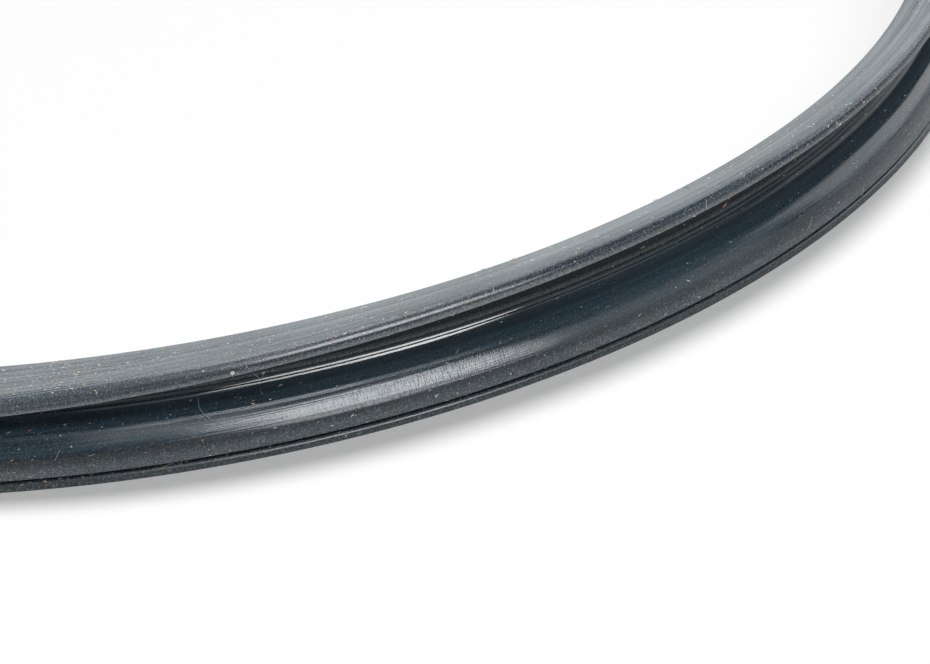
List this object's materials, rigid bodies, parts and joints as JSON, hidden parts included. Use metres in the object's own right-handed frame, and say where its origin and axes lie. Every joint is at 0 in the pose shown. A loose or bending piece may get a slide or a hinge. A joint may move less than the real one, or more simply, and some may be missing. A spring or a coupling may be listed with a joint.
{
  "type": "door gasket",
  "caption": "Round moulded rubber door gasket with a flared top lip, an outward groove, a round shoulder and a thin flap under a slit at the base.",
  "frame": {"origin": "centre of the ring, on the plane of its flat base", "axes": "+Z along the ring's axis, from the base up to the lip; X and Y are alike, because the ring is round"},
  "size_m": [0.25, 0.25, 0.0148],
  "materials": {
    "rubber": "moulded, satin, dusty"
  },
  "bodies": {
    "root": {"door_gasket": "rubber"}
  },
  "joints": []
}
